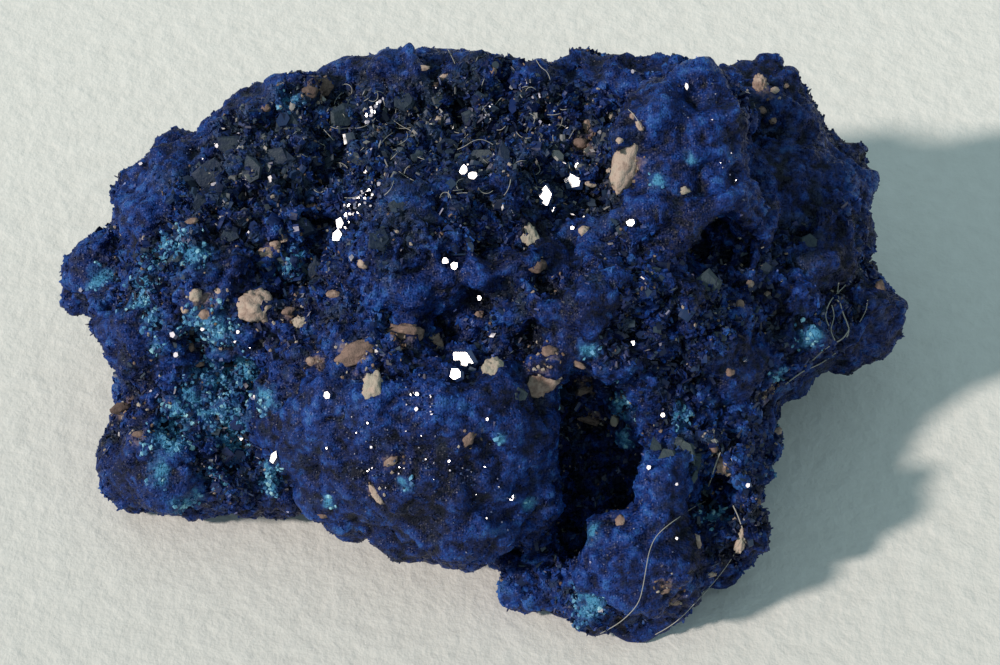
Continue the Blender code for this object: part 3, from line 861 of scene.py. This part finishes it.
FLASH_ROWS = (
    ((344, 217), (374, 188), 40, 4.5, 0.17, 0.05), ((368, 122), (382, 100), 16, 1.6, 0.19, 0.04),
    ((484, 108), (492, 122), 12, 4.0, 0.10, 0.12), ((400, 380), (430, 410), 24, 8.0, 0.09, 0.12),
    ((365, 430), (400, 480), 45, 16.0, 0.08, 0.11), ((440, 450), (500, 520), 45, 18.0, 0.08, 0.11),
    ((690, 80), (720, 180), 24, 16.0, 0.07, 0.15), ((180, 160), (330, 80), 30, 14.0, 0.07, 0.15),
    ((230, 330), (250, 350), 12, 6.0, 0.10, 0.15), ((120, 420), (240, 470), 20, 14.0, 0.08, 0.15),
    ((340, 90), (560, 150), 60, 22.0, 0.09, 0.2), ((620, 480), (680, 600), 16, 14.0, 0.07, 0.15),
)
FLAT_SIDES = (5, 6, 7)
FLAT_TOP, FLAT_THICKNESS = 0.5, 0.16
FLASH_BASE = 0.62
FLASH_LIFT = 0.10
FLASH_RISE = 0.4
FLASH_WOBBLE = 0.01
FLASH_UNEVEN = (0.75, 1.2)
ROW_UNEVEN = (0.5, 1.3)
FLASH_TONE = (0.02, 0.04, 0.12, 1)


def flat_crystal(shapes, sides, base):
    """The corners of a new flat crystal, about one across, with this radius at its base."""
    return bmesh.ops.create_cone(shapes, cap_ends=True, segments=sides, radius1=base,
                                 radius2=FLAT_TOP, depth=FLAT_THICKNESS)["verts"]


rng = random.Random(8)
faces = bmesh.new()
flashing = (toward_eye + LIGHT_FROM).normalized()
spots = [(*flash, FLASH_WOBBLE) for flash in FLASHES]
for (u, v), (end_u, end_v), count, spread, size, wobble in FLASH_ROWS:
    for step in range(count):
        along = (step + 0.5) / count
        spots.append(((u + (end_u - u) * along + rng.gauss(0, spread),
                       v + (end_v - v) * along + rng.gauss(0, spread)),
                      (size * rng.uniform(*ROW_UNEVEN), size * rng.uniform(*ROW_UNEVEN)), wobble))
for spot, (width, height), wobble in spots:
    point, _ = through(spot, body_tree)
    if point is None:
        continue
    turned = flashing.to_track_quat("Z", "Y").to_matrix() @ Euler(
        [rng.gauss(0, wobble) for _ in range(2)] + [rng.uniform(0, math.tau)]).to_matrix()
    lift = FLASH_LIFT + FLASH_RISE * max(width, height)
    for corner in flat_crystal(faces, rng.choice(FLAT_SIDES), FLASH_BASE):
        corner.co.x *= width * rng.uniform(*FLASH_UNEVEN)
        corner.co.y *= height * rng.uniform(*FLASH_UNEVEN)
        corner.co = point + toward_eye * lift * MM + turned @ corner.co * MM
bright = Finish("bare crystal face")
bright.surface(Base_Color=FLASH_TONE, Roughness=0.2, IOR=1.75)
settle(loose_piece("bare_crystal_faces", faces, bright.material))


# Slate plates: broad flat crystals, a millimetre or two across, half sunk in the crust of the
# upper left, the hollow behind the dome and the right foot, under a dull grey green film. A
# row holds a plate's spot, its width and height, its turn and its paleness.
SLATE_PLATES = (
    ((346, 116), (1.8, 1.1), 10, 0.5), ((343, 152), (0.7, 1.2), -5, 1.0),
    ((326, 158), (0.9, 1.1), 10, 0.4), ((360, 160), (0.8, 0.7), 0, 0.5),
    ((448, 147), (1.0, 1.0), 0, 0.1), ((483, 158), (1.4, 0.8), 0, 0.5),
    ((420, 160), (1.0, 0.5), -20, 0.4), ((405, 100), (1.0, 0.9), 0, 0.3),
    ((505, 155), (0.5, 1.2), 20, 0.0), ((470, 120), (0.9, 0.9), 0, 0.3),
    ((293, 262), (1.6, 0.9), -15, 0.7), ((316, 275), (0.9, 1.3), 0, 0.2),
    ((707, 286), (1.3, 1.2), 30, 0.7), ((650, 275), (0.9, 0.6), 20, 0.5),
    ((668, 456), (0.8, 0.9), 0, 0.8), ((688, 450), (0.6, 1.1), 20, 0.9),
    ((656, 450), (0.5, 1.2), 10, 0.7), ((676, 444), (0.9, 0.5), 30, 0.7),
    ((698, 462), (0.4, 0.9), 0, 0.8), ((694, 478), (0.3, 0.9), -20, 0.9),
    ((704, 490), (0.3, 0.7), 30, 0.8), ((262, 130), (1.3, 0.8), 20, 0.2),
    ((250, 170), (0.9, 1.1), 0, 0.3), ((230, 235), (1.0, 0.7), 0, 0.3),
    ((810, 245), (0.9, 1.0), 0, 0.6), ((765, 270), (0.7, 0.8), 0, 0.4),
    ((400, 205), (0.9, 0.8), 20, 0.3), ((520, 395), (0.7, 0.7), 0, 0.8),
    ((213, 173), (1.9, 1.4), 15, 0.1), ((234, 148), (1.7, 1.1), -20, 0.25),
    ((186, 188), (1.4, 1.1), 30, 0.1), ((300, 226), (1.3, 1.0), 0, 0.1),
    ((274, 158), (1.6, 1.0), 10, 0.2), ((203, 205), (1.2, 0.9), 0, 0.2),
    ((290, 128), (1.5, 0.9), -10, 0.3), ((380, 240), (1.2, 0.9), 25, 0.1),
)
SLAB_BASE = 0.6
SLAB_SUNK = 0.03
SLAB_UNEVEN = (0.6, 1.25)
SLAB_LEAN = 0.25
SLAB_TO_EYE = 1.2
SLATE_TONES = ((0.005, 0.015, 0.045, 1), (0.055, 0.078, 0.080, 1))

rng = random.Random(14)
slabs = bmesh.new()
film_layer = slabs.verts.layers.float.new("shade")
for spot, (width, height), turn, pale in SLATE_PLATES:
    point, normal = through(spot, body_tree)
    lean = Vector([rng.gauss(0, SLAB_LEAN) for _ in range(3)])
    flat = (toward_eye * SLAB_TO_EYE + normal + lean).normalized()
    side = (Matrix.Rotation(math.radians(turn), 3, flat) @ view_side).cross(flat).normalized()
    for corner in flat_crystal(slabs, rng.choice(FLAT_SIDES), SLAB_BASE):
        across = width * rng.uniform(*SLAB_UNEVEN)
        along = height * rng.uniform(*SLAB_UNEVEN)
        corner.co = point + (flat.cross(side) * corner.co.x * across * -1 + side * corner.co.y
                             * along + flat * (corner.co.z - SLAB_SUNK)) * MM
        corner[film_layer] = pale
bmesh.ops.recalc_face_normals(slabs, faces=slabs.faces)
slate = Finish("slate film")
place = slate.place()
slate.surface(
    Base_Color=slate.blend(
        slate.attribute("shade") * 0.8 + (slate.noise(place, 2500, 3, 0.7) - 0.5) * 1.3,
        *SLATE_TONES),
    Roughness=0.6, IOR=1.4, Normal=slate.bump(slate.noise(place, 5000, 3, 0.7), 0.06 * MM),
)
settle(loose_piece("slate_plates", slabs, slate.material))


# Lint and rootlets: two long pale hairs that cling to the right foot, short curled fibres
# caught among the crystals of the hollow, and pale rootlets in the grooves of the right side.
# Each strand is a row of spots, and lies just clear of the stone.
HAIRS = (
    ((705, 501), (692, 507), (680, 516), (667, 525), (655, 536), (649, 550), (646, 566),
     (643, 585), (639, 602), (628, 615), (614, 626), (600, 633)),
    ((735, 552), (728, 563), (719, 575), (708, 588), (697, 600), (684, 614), (670, 626),
     (655, 634)),
)
FIBRES = (
    ((331, 127), (338, 130), (348, 128), (358, 129), (370, 125), (376, 118)),
    ((315, 139), (320, 144), (327, 146), (324, 150)),
    ((394, 121), (402, 127), (410, 130), (416, 136), (419, 144)),
    ((385, 124), (398, 131), (411, 128)), ((365, 97), (372, 104), (380, 98), (377, 91)),
    ((396, 146), (404, 143), (409, 137), (407, 132)),
    ((457, 150), (465, 147), (473, 141), (484, 139), (493, 145)),
    ((536, 60), (540, 68), (548, 72), (550, 80)), ((448, 50), (452, 57), (455, 64)),
    ((483, 108), (487, 114), (492, 121), (496, 124)),
    ((867, 300), (866, 309), (862, 317), (859, 322)),
    ((641, 128), (636, 116), (628, 110)), ((716, 443), (712, 436), (714, 430)),
)
ROOTS = (
    ((838, 283), (836, 292), (839, 302), (842, 313), (846, 322), (849, 331), (846, 337)),
    ((845, 285), (838, 292), (830, 300), (826, 309), (824, 318), (828, 326)),
    ((831, 305), (834, 314), (832, 323), (829, 332), (834, 340)),
    ((848, 330), (844, 337), (838, 341), (830, 345), (820, 352), (812, 360)),
    ((836, 352), (826, 360), (815, 366), (804, 370), (794, 377), (785, 384)),
    ((720, 452), (716, 462), (712, 474), (708, 486)),
    ((742, 528), (738, 516), (733, 506), (729, 497)),
)
STRAY_FIBRES = 60
FIBRE_FIELD = ((300, 570), (85, 200))
FIBRE_SPOTS = (3, 6)
FIBRE_STEP = 3.5
FIBRE_CURL = 0.7
HAIR_RADIUS, ROOT_RADIUS, FIBRE_RADIUS = 0.022, 0.036, 0.019
LINT_LIFT = 0.22
LINT_TONE = (0.34, 0.34, 0.31, 1)


def laid(spots):
    """Points above the stone along these spots; past its edge, as far off as the last one."""
    points = []
    for spot in spots:
        point, _ = through(spot, body_tree)
        if point is None and not points:
            continue
        if point is None:
            across, down = steps(spot, last_spot)
            away = (eye - points[-1]).length
            point = points[-1] + (view_side * across - view_up * down) * away
        else:
            point = point + toward_eye * LINT_LIFT * MM
        points.append(point)
        last_spot = spot
    return points


rng = random.Random(3)
fibres = list(FIBRES)
for _ in range(STRAY_FIBRES):
    u, v = (rng.uniform(*span) for span in FIBRE_FIELD)
    heading, curl = rng.uniform(0, math.tau), rng.uniform(-FIBRE_CURL, FIBRE_CURL)
    spots = []
    for _ in range(rng.randint(*FIBRE_SPOTS)):
        spots.append((u, v))
        u, v = u + FIBRE_STEP * math.cos(heading), v + FIBRE_STEP * math.sin(heading)
        heading += curl
    fibres.append(spots)
lint = Finish("lint")
lint.surface(Base_Color=LINT_TONE, Roughness=0.7)
for name, strands, radius in (("long_hairs", HAIRS, HAIR_RADIUS),
                              ("rootlets", ROOTS, ROOT_RADIUS),
                              ("short_fibres", fibres, FIBRE_RADIUS)):
    curve = bpy.data.curves.new(name, "CURVE")
    curve.dimensions = "3D"
    curve.bevel_depth = radius * MM
    curve.bevel_resolution = 0
    curve.use_fill_caps = True
    for spots in strands:
        points = laid(spots)
        spline = curve.splines.new("NURBS")
        spline.points.add(len(points) - 1)
        for control, point in zip(spline.points, points):
            control.co = (*point, 1)
        spline.use_endpoint_u = True
        spline.order_u = 3
        spline.resolution_u = 4
    strand = bpy.data.objects.new(name, curve)
    scene.collection.objects.link(strand)
    strand = plain_mesh(strand, name)
    strand.data.materials.clear()
    strand.data.materials.append(lint.material)
    settle(strand)
